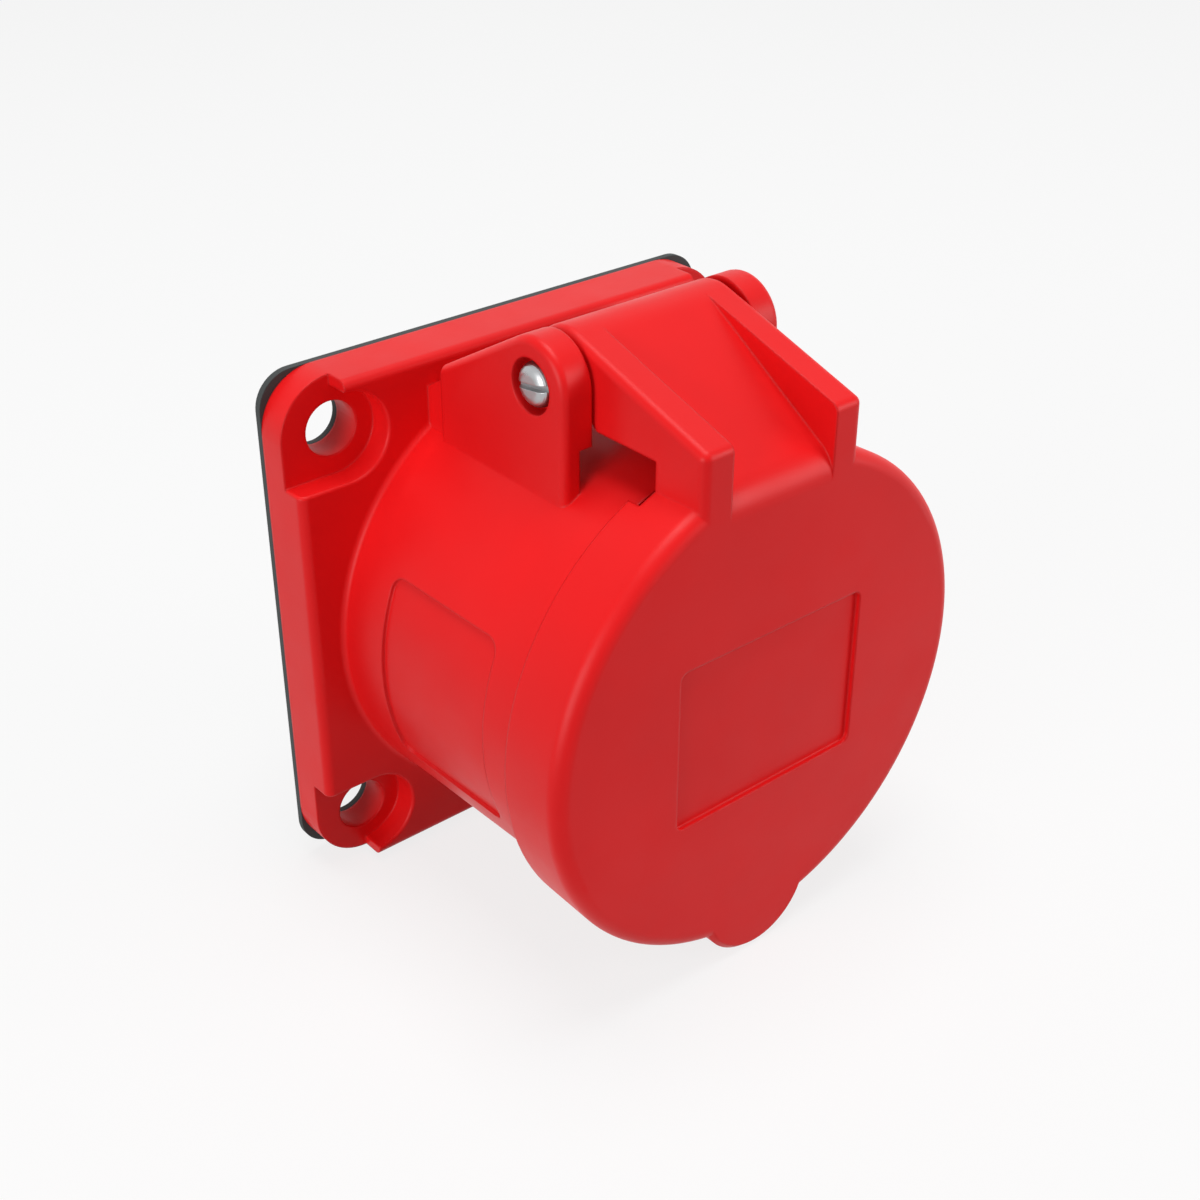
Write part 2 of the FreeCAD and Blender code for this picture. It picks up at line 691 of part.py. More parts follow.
def add_tab(body):
    """A round tab flush with the lid's face, turned about its own axis so that its rim is chamfered."""
    sketch = sketch_on(body, "tab", "YZ_Plane")
    middle = "-tab_centre"
    rim = "-tab_centre - tab_radius"
    back = "-lid_face + tab_thickness"
    polygon(
        sketch,
        [
            ("-lid_face", middle),
            ("-lid_face", f"{rim} + tab_edge"),
            ("-lid_face + tab_edge", rim),
            (f"{back} - tab_edge", rim),
            (back, f"{rim} + tab_edge"),
            (back, middle),
        ],
    )
    ends = [FreeCAD.Vector(value(across), value(middle), 0) for across in ("-lid_face", back)]
    axis = sketch.addGeometry(Part.LineSegment(*ends), True)
    locate(sketch, axis, 1, "-lid_face", middle)
    locate(sketch, axis, 2, back, middle)
    turned(body, "Revolution", "tab_turn", sketch, "Axis0")


def hollow_lid(body):
    inside = sketch_on(body, "inside", "XZ_Plane", "lid_inner_face")
    circle(inside, "0", "0", "lid_bore")
    feature(body, "Pocket", "inside_cut", inside, "lid_inner_face - skirt_face")
    notch = sketch_on(body, "skirt_notch", "XZ_Plane", "skirt_notch_face")
    rectangle(notch, "-skirt_notch_half", "skirt_notch_half", "lid_bore / 2", "lid_radius")
    feature(body, "Pocket", "skirt_notch_cut", notch, "skirt_notch_face - skirt_face")
    bore = sketch_on(body, "pin_bore", "YZ_Plane", "-arm_half")
    circle(bore, "-hinge_face", "hinge_height", "pin_radius + pin_play")
    feature(body, "Pocket", "pin_bore_cut", bore, "2 * arm_half", Reversed=True)
    pocket = sketch_on(body, "spring_pocket", "YZ_Plane", "-spring_pocket_half")
    circle(pocket, "-hinge_face", "hinge_height", "spring_pocket_radius")
    feature(body, "Pocket", "spring_pocket_cut", pocket, "2 * spring_pocket_half", Reversed=True)
    below = sketch_on(body, "spring_opening", "YZ_Plane", "-spring_pocket_half")
    rectangle(
        below,
        "-hinge_face",
        "-hinge_face + knuckle_radius + overlap",
        "hinge_height - knuckle_radius - overlap",
        "hinge_height + spring_catch_height",
    )
    feature(body, "Pocket", "spring_opening_cut", below, "2 * spring_pocket_half", Reversed=True)


def furnish_lid(body):
    """The label field, the rib that locates the seal and the nose that keeps a plug in."""
    label = sketch_on(body, "label_recess", "XZ_Plane", "lid_face - label_depth")
    rectangle(label, "-label_half_width", "label_half_width", "-label_half_height", "label_half_height")
    feature(body, "Pocket", "label_recess_cut", label, "lid_face", Reversed=True)
    depth = value("label_depth")
    half_width = value("label_half_width")
    soften(
        body,
        "Fillet",
        "label_corners",
        "label_corner",
        lambda edge, middle: along_depth(edge)
        and edge.Length < depth + ROUND_ABOUT
        and near(abs(middle.x), half_width),
    )
    rib = sketch_on(body, "locating_rib", "XZ_Plane", "lid_inner_face - locating_rib_height")
    circle(rib, "0", "0", "locating_rib_outer")
    circle(rib, "0", "0", "locating_rib_inner")
    feature(body, "Pad", "locating_rib_pad", rib, "locating_rib_height")
    nose = sketch_on(body, "nose", "XZ_Plane", "lid_inner_face - nose_depth")
    rectangle(
        nose,
        "-nose_width / 2",
        "nose_width / 2",
        "nose_height - nose_thickness / 2",
        "nose_height + nose_thickness / 2",
    )
    feature(body, "Pad", "nose_pad", nose, "nose_depth")


def build_lid_seal():
    back = "-rim_face - seal_gap"
    turned_body(
        "lid_seal",
        [
            ("-lid_inner_face", "seal_inner"),
            ("-lid_inner_face", "seal_outer"),
            (back, "seal_outer"),
            (back, "seal_inner"),
        ],
    )


# The hinge screw and its spring


def build_hinge_screw():
    """Turned about its own Y axis, then laid across the hinge with its head in the left lug's recess."""
    body = new_body("hinge_screw")
    sketch = sketch_on(body, "outline", "YZ_Plane")
    under_head = "head_recess_depth - lug_outer"
    polygon(
        sketch,
        [
            (f"{under_head} - pin_head_length", "0"),
            (f"{under_head} - pin_head_length", "pin_head_radius"),
            (under_head, "pin_head_radius"),
            (under_head, "pin_radius"),
            ("lug_inner - 2 * pin_play", "pin_radius"),
            ("lug_inner - 2 * pin_play", "pin_thread_radius"),
            ("lug_outer - lug_edge", "pin_thread_radius"),
            ("lug_outer - lug_edge", "0"),
        ],
    )
    turned(body, "Revolution", "turn", sketch)
    top = value(f"{under_head} - pin_head_length")
    soften(body, "Fillet", "dome", "pin_head_dome", lambda edge, middle: near(middle.y, top))
    slot = sketch_on(body, "slot", "XZ_Plane", f"-({under_head} - pin_head_length + pin_slot_depth)")
    rectangle(slot, "-pin_head_radius", "pin_head_radius", "-pin_slot_width / 2", "pin_slot_width / 2")
    feature(body, "Pocket", "slot_cut", slot, "pin_head_length", Reversed=True)
    bind(body, "Placement.Base.y", "-hinge_face")
    bind(body, "Placement.Base.z", "hinge_height")
    lay_across = FreeCAD.Rotation(FreeCAD.Vector(0, 0, 1), -QUARTER_TURN)
    tilt = FreeCAD.Rotation(FreeCAD.Vector(1, 0, 0), -value("pin_slot_tilt"))
    body.Placement.Rotation = tilt * lay_across
    return body


def spring_shape():
    """A coil round the Z axis, with a hook that lifts the lid's arm and a leg down on the collar."""
    wire = value("spring_wire / 2")
    coil = value("spring_coil_radius")
    pitch = value("spring_pitch")
    hook_height = value("spring_catch_height - spring_wire / 2 - spring_play")
    start = math.degrees(math.asin(hook_height / coil))
    sweep = FULL_TURN * value("spring_turns") - value("spring_leg_turn") - start
    length = pitch * sweep / FULL_TURN
    along = FreeCAD.Vector(0, 0, 1)
    helix = Part.makeHelix(pitch, length, coil)
    helix.rotate(FreeCAD.Vector(), along, start)
    helix.translate(along * -length / 2)
    first, last = helix.Edges[0], helix.Edges[-1]
    begin = first.valueAt(first.FirstParameter)
    finish = last.valueAt(last.LastParameter)
    section = Part.Circle(begin, first.tangentAt(first.FirstParameter), wire)
    coils = Part.Wire(helix.Edges).makePipeShell([Part.Wire([section.toShape()])], True, True)
    hook = Part.makeCylinder(wire, value("spring_hook_length"), begin, FreeCAD.Vector(1, 0, 0))
    leaving = last.tangentAt(last.LastParameter)
    leg = Part.makeCylinder(wire, value("spring_leg_length"), finish, leaving)
    bends = [Part.makeSphere(wire, end) for end in (begin, finish)]
    return coils.multiFuse([hook, leg, *bends]).Solids[0]


def build_hinge_spring():
    """A plain shape, because a helix with legs is no pad or primitive. Its Z axis lies across the hinge, so
    that the rear of the hinge is at angle 0 and the top at a quarter turn."""
    spring = doc.addObject("Part::Feature", "hinge_spring")
    spring.Label = "hinge_spring"
    spring.Shape = spring_shape()
    rear_first = FreeCAD.Matrix(0, 0, 1, 0, 1, 0, 0, 0, 0, 1, 0, 0)
    turned_over = FreeCAD.Placement(rear_first)
    bind(spring, "Placement.Base.y", "-hinge_face")
    bind(spring, "Placement.Base.z", "hinge_height")
    spring.Placement.Rotation = turned_over.Rotation
    return spring


# The insert: carrier, terminal block and contacts


def spot_on_circle(number):
    """Sketch coordinates of a contact, counted from six o'clock."""
    angle = f"{SIX_O_CLOCK} + {number} * contact_angle"
    return f"contact_circle * cos({angle})", f"contact_circle * sin({angle})"


def pin_radius(name):
    return "earth_pin_radius" if name == EARTH else "phase_pin_radius"


def sleeve_radius(name):
    return f"{pin_radius(name)} + sleeve_wall"


def chamber_radius(name):
    return f"{sleeve_radius(name)} + ring_thickness + chamber_play"


def seat_radius(name):
    return f"{chamber_radius(name)} + collar_width"


def terminal_radius(name):
    return f"{pin_radius(name)} + terminal_wall"


def build_carrier():
    body = turned_body(
        "contact_carrier",
        [
            ("-core_face", "0"),
            ("-core_face", "core_radius - core_edge"),
            ("-core_face + core_edge", "core_radius"),
            ("-seat_face", "core_radius"),
            ("-seat_face", "0"),
        ],
    )
    for number, name in enumerate(CONTACTS):
        spot = spot_on_circle(number)
        for part, offset, radius, length in (
            ("entry", "0", f"{pin_radius(name)} + entry_play", "rim_face"),
            ("chamber", "0", chamber_radius(name), "sleeve_face + screw_play"),
            ("seat", "0", seat_radius(name), "seat_face + collar_thickness"),
        ):
            hole = sketch_on(body, f"{name}_{part}", "XZ_Plane", offset)
            circle(hole, *spot, radius)
            feature(body, "Pocket", f"{name}_{part}_cut", hole, length, Reversed=True)
    screw = sketch_on(body, "block_screw_hole", "XZ_Plane")
    circle(screw, "0", "0", "block_screw_radius + screw_play")
    feature(body, "Pocket", "block_screw_hole_cut", screw, "block_screw_end_face + screw_play", Reversed=True)


def build_block():
    body = turned_body(
        "terminal_block",
        [
            ("-seat_face", "0"),
            ("-seat_face", "block_flange_radius"),
            ("-block_flange_back_face", "block_flange_radius"),
            ("-block_flange_back_face", "block_radius"),
            ("block_back - block_edge", "block_radius"),
            ("block_back", "block_radius - block_edge"),
            ("block_back", "0"),
        ],
    )
    ears = sketch_on(body, "ears", "XZ_Plane", "block_flange_back_face")
    for side in (-1, 1):
        circle(ears, f"{side} * ear_offset", "0", "ear_radius")
    feature(body, "Pad", "ears_pad", ears, "ear_face - block_flange_back_face")
    ear_holes = sketch_on(body, "ear_holes", "XZ_Plane")
    for side in (-1, 1):
        circle(ear_holes, f"{side} * ear_offset", "0", "ear_screw_radius + screw_play")
    feature(body, "Pocket", "ear_holes_cut", ear_holes, "rim_face", Reversed=True)
    for number, name in enumerate(CONTACTS):
        spot = spot_on_circle(number)
        chamber = sketch_on(body, f"{name}_chamber", "XZ_Plane", "-terminal_back")
        circle(chamber, *spot, f"{terminal_radius(name)} + block_play")
        feature(body, "Pocket", f"{name}_chamber_cut", chamber, "terminal_back + rim_face", Reversed=True)
        funnel = sketch_on(body, f"{name}_funnel", "XZ_Plane", "-block_back")
        circle(funnel, *spot, "funnel_radius")
        feature(body, "Pocket", f"{name}_funnel_cut", funnel, "rim_face", Reversed=True)
        driver = sketch_on(body, f"{name}_driver", "XZ_Plane")
        driver.MapMode = "Deactivated"
        aim_radially(driver, number)
        circle(driver, "0", "0", "driver_radius")
        feature(body, "Pocket", f"{name}_driver_cut", driver, "block_radius - contact_circle", Reversed=True)
    recess = sketch_on(body, "screw_recess", "XZ_Plane", "-block_back")
    circle(recess, "0", "0", "block_screw_head_radius + 2 * screw_play")
    feature(body, "Pocket", "screw_recess_cut", recess, "block_screw_recess", Reversed=True)
    screw = sketch_on(body, "screw_hole", "XZ_Plane", "-block_back")
    circle(screw, "0", "0", "block_screw_radius + screw_play")
    feature(body, "Pocket", "screw_hole_cut", screw, "block_back + rim_face", Reversed=True)


def radial_rotation(number):
    """Turns the Z axis to point outwards from the collar's axis, through a contact."""
    angle = SIX_O_CLOCK + number * value("contact_angle")
    outwards = FreeCAD.Vector(math.cos(math.radians(angle)), 0, math.sin(math.radians(angle)))
    return FreeCAD.Rotation(FreeCAD.Vector(0, 0, 1), outwards)


def aim_radially(sketch, number):
    """Stands a sketch across a terminal screw's axis, as far out as the contact itself."""
    across, up = spot_on_circle(number)
    sketch.setExpression("AttachmentOffset.Base.z", None)
    sketch.Placement = FreeCAD.Placement(FreeCAD.Vector(), radial_rotation(number))
    bind(sketch, "Placement.Base.x", across)
    bind(sketch, "Placement.Base.y", "clamp_back")
    bind(sketch, "Placement.Base.z", up)


def build_contact(number, name):
    """A turned contact: slit sleeve in front, a collar that seats it, and a drilled terminal behind."""
    inner = pin_radius(name)
    outer = sleeve_radius(name)
    body = turned_body(
        name,
        [
            ("-sleeve_face + sleeve_depth", "0"),
            ("-sleeve_face + sleeve_depth", inner),
            ("-sleeve_face", inner),
            ("-sleeve_face", outer),
            ("-seat_face - collar_thickness", outer),
            ("-seat_face - collar_thickness", f"{chamber_radius(name)} + collar_width - screw_play"),
            ("-seat_face", f"{chamber_radius(name)} + collar_width - screw_play"),
            ("-seat_face", terminal_radius(name)),
            ("terminal_back", terminal_radius(name)),
            ("terminal_back", "funnel_radius - screw_play"),
            ("terminal_back + nose_length", "funnel_radius - screw_play"),
            ("terminal_back + nose_length", "wire_radius"),
            ("terminal_back + nose_length - wire_depth", "wire_radius"),
            ("terminal_back + nose_length - wire_depth", "0"),
        ],
    )
    slits = sketch_on(body, "slits", "XZ_Plane", "sleeve_face - sleeve_slit_length")
    half = "sleeve_slit / 2"
    rectangle(slits, f"-({outer})", outer, f"-{half}", half)
    feature(body, "Pocket", "slit_cut", slits, "sleeve_slit_length", Reversed=True)
    tapping = sketch_on(body, "clamp_hole", "XY_Plane")
    tapping.MapMode = "Deactivated"
    tapping.setExpression("AttachmentOffset.Base.z", None)
    tapping.Placement = FreeCAD.Placement(FreeCAD.Vector(), radial_rotation(number))
    bind(tapping, "Placement.Base.y", "clamp_back")
    circle(tapping, "0", "0", "clamp_radius")
    feature(body, "Pocket", "clamp_hole_cut", tapping, f"2 * ({outer})", Reversed=True)
    stand_on_circle(body, number)
    return body


def stand_on_circle(thing, number):
    across, up = spot_on_circle(number)
    bind(thing, "Placement.Base.x", across)
    bind(thing, "Placement.Base.z", up)


def build_spring_ring(number, name):
    front = "-sleeve_face + ring_setback"
    inner = sleeve_radius(name)
    ring = turned_body(
        name.replace("contact", "spring_ring"),
        [
            (front, inner),
            (front, f"{inner} + ring_thickness"),
            (f"{front} + ring_width", f"{inner} + ring_thickness"),
            (f"{front} + ring_width", inner),
        ],
    )
    stand_on_circle(ring, number)
    return ring


# Screws that share a node are cut as one group of separate solids


def slotted_screw(name, shank_radius, shank_length, head_radius, head_height, slot):
    """A screw along +Z whose shank starts at the origin and ends under its head."""
    shank = doc.addObject("Part::Cylinder", f"{name}_shank")
    bind(shank, "Radius", shank_radius)
    bind(shank, "Height", shank_length)
    head = doc.addObject("Part::Cylinder", f"{name}_head")
    bind(head, "Radius", head_radius)
    bind(head, "Height", head_height)
    bind(head, "Placement.Base.z", shank_length)
    whole = doc.addObject("Part::Fuse", f"{name}_whole")
    whole.Base = shank
    whole.Tool = head
    cutter = doc.addObject("Part::Box", f"{name}_cutter")
    bind(cutter, "Length", f"2 * ({head_radius})")
    bind(cutter, "Width", slot)
    bind(cutter, "Height", head_height)
    bind(cutter, "Placement.Base.x", f"-({head_radius})")
    bind(cutter, "Placement.Base.y", f"-{slot} / 2")
    bind(cutter, "Placement.Base.z", f"{shank_length} + {head_height} / 2")
    screw = doc.addObject("Part::Cut", name)
    screw.Base = whole
    screw.Tool = cutter
    return screw


def group(name, members):
    together = doc.addObject("Part::MultiFuse", name)
    together.Label = name
    together.Shapes = members
    return together


def build_terminal_screws():
    screws = []
    for number in range(len(CONTACTS)):
        angle = f"({SIX_O_CLOCK} + {number} * contact_angle)"
        screw = slotted_screw(
            f"terminal_screw_{number}",
            "clamp_radius",
            "clamp_length - pin_slot_width",
            "clamp_radius",
            "pin_slot_width",
            "pin_slot_width",
        )
        screw.Placement = FreeCAD.Placement(FreeCAD.Vector(), radial_rotation(number))
        bind(screw, "Placement.Base.x", f"(contact_circle + clamp_reach) * cos{angle}")
        bind(screw, "Placement.Base.y", "clamp_back")
        bind(screw, "Placement.Base.z", f"(contact_circle + clamp_reach) * sin{angle}")
        screws.append(screw)
    return group("terminal_screws", screws)


def facing_back(screw, across, tip):
    """Points a screw's head away from the front."""
    backwards = FreeCAD.Rotation(FreeCAD.Vector(1, 0, 0), -QUARTER_TURN)
    screw.Placement = FreeCAD.Placement(FreeCAD.Vector(), backwards)
    bind(screw, "Placement.Base.x", across)
    bind(screw, "Placement.Base.y", tip)


def build_ear_screws():
    screws = []
    for number, side in enumerate((-1, 1)):
        screw = slotted_screw(
            f"ear_screw_{number}",
            "ear_screw_radius",
            "ear_screw_length",
            "ear_head_radius",
            "ear_head_height",
            "pin_slot_width",
        )
        facing_back(screw, f"{side} * ear_offset", "-block_flange_back_face - ear_screw_length")
        screws.append(screw)
    return group("ear_screws", screws)


def build_block_screw():
    length = "block_screw_end_face + block_back - block_screw_recess"
    screw = slotted_screw(
        "block_screw",
        "block_screw_radius",
        length,
        "block_screw_head_radius",
        "block_screw_head_height",
        "pin_slot_width",
    )
    screw.Label = "block_screw"
    facing_back(screw, "0", "-block_screw_end_face")
    return screw


def build_all():
    build_housing()
    build_gasket()
    build_lid()
    build_lid_seal()
    build_hinge_screw()
    build_hinge_spring()
    build_carrier()
    build_block()
    for number, name in enumerate(CONTACTS):
        build_contact(number, name)
        build_spring_ring(number, name)
    build_terminal_screws()
    build_ear_screws()
    build_block_screw()
    doc.recompute()


NODES = [
    "housing",
    "panel_gasket",
    "lid",
    "lid_seal",
    "hinge_screw",
    "hinge_spring",
    "contact_carrier",
    "terminal_block",
    *CONTACTS,
    *[name.replace("contact", "spring_ring") for name in CONTACTS],
    "terminal_screws",
    "ear_screws",
    "block_screw",
]


def write_parts():
    failed = [thing.Name for thing in doc.Objects if {"Invalid", "Error"} & set(thing.State)]
    if failed:
        raise RuntimeError(f"these objects failed: {failed}")
    shapes = {name: doc.getObjectsByLabel(name)[0].Shape for name in NODES}
    for name, shape in shapes.items():
        if shape.isNull() or not shape.isValid() or not shape.Solids:
            raise RuntimeError(f"{name} has no valid solid")
    os.makedirs("parts", exist_ok=True)
    for name, shape in shapes.items():
        shape.exportStep(f"parts/{name}.step")
        print(f"{name}: {len(shape.Solids)} solids, {shape.Volume:.1f} mm3")


build_all()
write_parts()
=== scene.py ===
"""Finishes and fine detail for a panel-mount industrial socket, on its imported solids."""

import math

import bpy
from bpy.props import FloatProperty, FloatVectorProperty, IntProperty, PointerProperty
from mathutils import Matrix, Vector


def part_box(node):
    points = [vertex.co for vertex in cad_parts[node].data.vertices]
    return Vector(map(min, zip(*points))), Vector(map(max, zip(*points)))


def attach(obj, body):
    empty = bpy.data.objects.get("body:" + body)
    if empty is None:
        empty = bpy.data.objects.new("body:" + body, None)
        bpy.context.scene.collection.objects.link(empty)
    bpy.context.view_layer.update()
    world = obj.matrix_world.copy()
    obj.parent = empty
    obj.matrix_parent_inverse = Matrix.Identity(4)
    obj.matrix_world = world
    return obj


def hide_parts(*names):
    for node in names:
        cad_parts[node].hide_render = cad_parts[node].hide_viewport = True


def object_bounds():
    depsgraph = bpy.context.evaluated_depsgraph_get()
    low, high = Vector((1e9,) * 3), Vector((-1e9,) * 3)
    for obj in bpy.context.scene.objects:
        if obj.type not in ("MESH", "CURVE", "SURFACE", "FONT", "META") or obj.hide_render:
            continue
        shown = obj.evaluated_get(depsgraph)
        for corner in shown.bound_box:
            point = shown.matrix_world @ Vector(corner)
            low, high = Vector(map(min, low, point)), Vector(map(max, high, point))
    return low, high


bl_info = {
    "name": "Panel Socket",
    "version": (1, 0, 0),
    "blender": (4, 5, 0),
    "location": "View3D > Sidebar > Socket",
    "description": "Plastic, rubber, steel and brass finishes for a panel socket, with threaded screws",
    "category": "Object",
}

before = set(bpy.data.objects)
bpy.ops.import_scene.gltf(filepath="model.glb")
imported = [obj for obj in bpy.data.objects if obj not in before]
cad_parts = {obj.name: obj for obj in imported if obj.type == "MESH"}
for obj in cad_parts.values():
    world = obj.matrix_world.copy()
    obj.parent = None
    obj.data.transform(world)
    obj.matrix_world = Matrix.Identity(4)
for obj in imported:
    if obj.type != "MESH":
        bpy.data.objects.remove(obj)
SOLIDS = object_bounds()

CONTACTS = ("pe", "l1", "l2", "l3", "n")
SIX_O_CLOCK = -math.pi / 2

# Where most of a noise's values lie
NOISE_LOW = 0.3
NOISE_HIGH = 0.7

# Lengths in metres
INSERT_EDGE = 0.0003
BLOCK_DOME = 0.0024
EAR_DOME = 0.0019
TERMINAL_DOME = 0.0008
WELD = 1e-7

# Shares of a screw's own sizes
SHANK_IN_HEAD = 0.3
POINT_CUT = 0.2
CUTTER_LENGTH = 3
SLOT_DEPTH = 0.5

# A head's side takes this share of its rows and of its height, and the dome takes the rest
SIDE_ROWS = 0.35
SIDE_HEIGHT = 0.55
DOME_BEND = 0.8
HEAD_ROWS = 18
ROWS_PER_TURN = 10
END_ROWS = 3

SHARP_EDGE = math.radians(40)

# The place and the side of each square lamp, in metres
LAMPS = {
    "key": ((0, -0.03, 1.0), 0.6),
    "left": ((-0.95, -0.2, 0.15), 0.6),
    "front": ((0.65, -0.78, 0.25), 0.5),
}
CAMERA_PLACE = (-0.13661, -0.183816, 0.125817)
CAMERA_DEGREES = (59.3648, -0.1646, -40.3644)
WHITE = (1, 1, 1, 1)
FLOOR_GREY = (0.8, 0.8, 0.8, 1)


# Sizes and colours


class SocketPlastic(bpy.types.PropertyGroup):
    red: FloatVectorProperty(
        name="Red",
        description="Colour of the housing and the lid",
        subtype="COLOR",
        size=3,
        min=0,
        max=1,
        default=(0.78, 0.0075, 0.009),
    )
    insert: FloatVectorProperty(
        name="Insert",
        description="Colour of the contact carrier and the terminal block",
        subtype="COLOR",
        size=3,
        min=0,
        max=1,
        default=(0.028, 0.029, 0.031),
    )
    roughness: FloatProperty(
        name="Roughness",
        description="Roughness of the moulded surface",
        min=0,
        max=1,
        default=0.4,
        subtype="FACTOR",
    )
    shine: FloatProperty(
        name="Shine",
        description="Strength of the moulded surface's reflections",
        min=0,
        max=1,
        default=0.22,
        subtype="FACTOR",
    )
    edge: FloatProperty(
        name="Edge rounding",
        description="How far the moulded edges look rounded",
        min=0,
        default=0.0005,
        unit="LENGTH",
    )
    grain: FloatProperty(
        name="Grain size",
        description="Width of the fine grain that the mould leaves",
        min=0.00001,
        default=0.0004,
        unit="LENGTH",
    )
    grain_depth: FloatProperty(
        name="Grain depth",
        description="Depth of that grain",
        min=0,
        default=0.000006,
        unit="LENGTH",
    )


class SocketRubber(bpy.types.PropertyGroup):
    gasket: FloatVectorProperty(
        name="Gasket",
        description="Colour of the panel gasket",
        subtype="COLOR",
        size=3,
        min=0,
        max=1,
        default=(0.022, 0.026, 0.026),
    )
    seal: FloatVectorProperty(
        name="Seal",
        description="Colour of the lid's seal",
        subtype="COLOR",
        size=3,
        min=0,
        max=1,
        default=(0.03, 0.03, 0.03),
    )


class SocketMetal(bpy.types.PropertyGroup):
    steel: FloatVectorProperty(
        name="Steel",
        description="Colour of the screws and springs",
        subtype="COLOR",
        size=3,
        min=0,
        max=1,
        default=(0.46, 0.47, 0.48),
    )
    brass: FloatVectorProperty(
        name="Brass",
        description="Colour of the contacts",
        subtype="COLOR",
        size=3,
        min=0,
        max=1,
        default=(0.66, 0.46, 0.2),
    )
    turning: FloatProperty(
        name="Turning marks",
        description="Spacing of the fine rings that a lathe leaves",
        min=0.00001,
        default=0.00022,
        unit="LENGTH",
    )


class SocketThreads(bpy.types.PropertyGroup):
    clamp_radius: FloatProperty(
        name="Terminal screw",
        description="Radius of the screws that clamp the wires",
        default=0.0017,
        unit="LENGTH",
    )
    clamp_length: FloatProperty(
        name="Terminal screw's length",
        description="Length of the screws that clamp the wires",
        default=0.006,
        unit="LENGTH",
    )
    slot: FloatProperty(
        name="Slot",
        description="Width of the slots in the heads",
        default=0.0008,
        unit="LENGTH",
    )
    ear_radius: FloatProperty(
        name="Ear screw",
        description="Radius of the screws that hold the insert",
        default=0.0013,
        unit="LENGTH",
    )
    block_radius: FloatProperty(
        name="Block screw",
        description="Radius of the screw between the insert's two halves",
        default=0.002,
        unit="LENGTH",
    )
    pitch: FloatProperty(
        name="Pitch",
        description="Pitch of a thread as a share of its screw's radius",
        min=0.1,
        default=0.4,
        subtype="FACTOR",
    )
    depth: FloatProperty(
        name="Depth",
        description="Depth of a thread as a share of its pitch",
        min=0.1,
        default=0.5,
        subtype="FACTOR",
    )
    around: IntProperty(
        name="Facets",
        description="Faces round a screw",
        min=12,
        max=96,
        default=40,
    )


class SocketStage(bpy.types.PropertyGroup):
    drop: FloatProperty(
        name="Floor below",
        description="Gap between the lowest point and the floor",
        min=0,
        default=0.0,
        unit="LENGTH",
    )
    key: FloatProperty(
        name="Key light",
        description="Power of the lamp above",
        min=0,
        default=6.9,
        unit="POWER",
    )
    left: FloatProperty(
        name="Left light",
        description="Power of the lamp on the left",
        min=0,
        default=6.0,
        unit="POWER",
    )
    front: FloatProperty(
        name="Front light",
        description="Power of the lamp in front and to the right",
        min=0,
        default=3.7,
        unit="POWER",
    )
    fill: FloatProperty(
        name="Fill light",
        description="Brightness of the surroundings",
        min=0,
        default=0.24,
    )
    bounce: FloatProperty(
        name="Floor bounce",
        description="How much light the floor throws back up",
        min=0,
        max=1,
        default=0.3,
        subtype="FACTOR",
    )
    shadow: FloatProperty(
        name="Shadow",
        description="How strongly shadows show on the floor",
        min=0,
        max=1,
        default=0.2,
        subtype="FACTOR",
    )
    lens: FloatProperty(
        name="Lens",
        description="Focal length of the camera in millimetres",
        min=1,
        default=52.676,
    )


def settings():
    return bpy.context.scene


def feed(tree, socket, given):
    """A socket takes another node's output, or else a plain value."""
    if isinstance(given, bpy.types.NodeSocket):
        tree.links.new(given, socket)
    else:
        socket.default_value = given


# Materials


class Shader:
    """A material with one principled shader and short ways to add and join nodes."""

    def __init__(self, name):
        self.material = bpy.data.materials.new(name)
        self.material.use_nodes = True
        self.tree = self.material.node_tree
        self.surface = self.tree.nodes["Principled BSDF"]
        self.place = self.add("ShaderNodeTexCoord").outputs["Object"]

    def add(self, kind, inputs=None, **options):
        node = self.tree.nodes.new(kind)
        for key, option in options.items():
            setattr(node, key, option)
        for key, given in (inputs or {}).items():
            feed(self.tree, node.inputs[key], given)
        return node

    def set(self, **inputs):
        for key, given in inputs.items():
            feed(self.tree, self.surface.inputs[key.replace("_", " ")], given)

    def noise(self, size, detail, roughness=0.5, stretch=None):
        """Noise whose features are about the given size, in metres."""
        place = self.place
        if stretch:
            place = self.add("ShaderNodeMapping", {"Vector": place, "Scale": stretch}).outputs["Vector"]
        inputs = {"Vector": place, "Scale": 1 / size, "Detail": detail, "Roughness": roughness}
        return self.add("ShaderNodeTexNoise", inputs).outputs["Fac"]

    def spread(self, source, low, high):
        """A noise laid over another range."""
        inputs = {"Value": source, "To Min": low, "To Max": high}
        inputs |= {"From Min": NOISE_LOW, "From Max": NOISE_HIGH}
        return self.add("ShaderNodeMapRange", inputs).outputs["Result"]

    def tint(self, source, dark, light):
        """A colour that runs from dark to light with a signal."""
        mix = self.add("ShaderNodeMix", data_type="RGBA")
        self.tree.links.new(source, mix.inputs[0])
        mix.inputs[6].default_value = (*dark, 1)
        mix.inputs[7].default_value = (*light, 1)
        return mix.outputs[2]

    def math(self, operation, one, other):
        return self.add("ShaderNodeMath", {0: one, 1: other}, operation=operation).outputs[0]

    def bump(self, height, distance, normal):
        inputs = {"Height": height, "Distance": distance, "Strength": 1.0, "Normal": normal}
        return self.add("ShaderNodeBump", inputs).outputs["Normal"]

    def rounded(self, radius):
        """Normals that turn over an edge as if it were rounded."""
        return self.add("ShaderNodeBevel", {"Radius": radius}, samples=8).outputs["Normal"]


def shade(colour, factor):
    """A colour made darker or lighter, without passing full strength."""
    return tuple(min(1.0, part * factor) for part in colour)


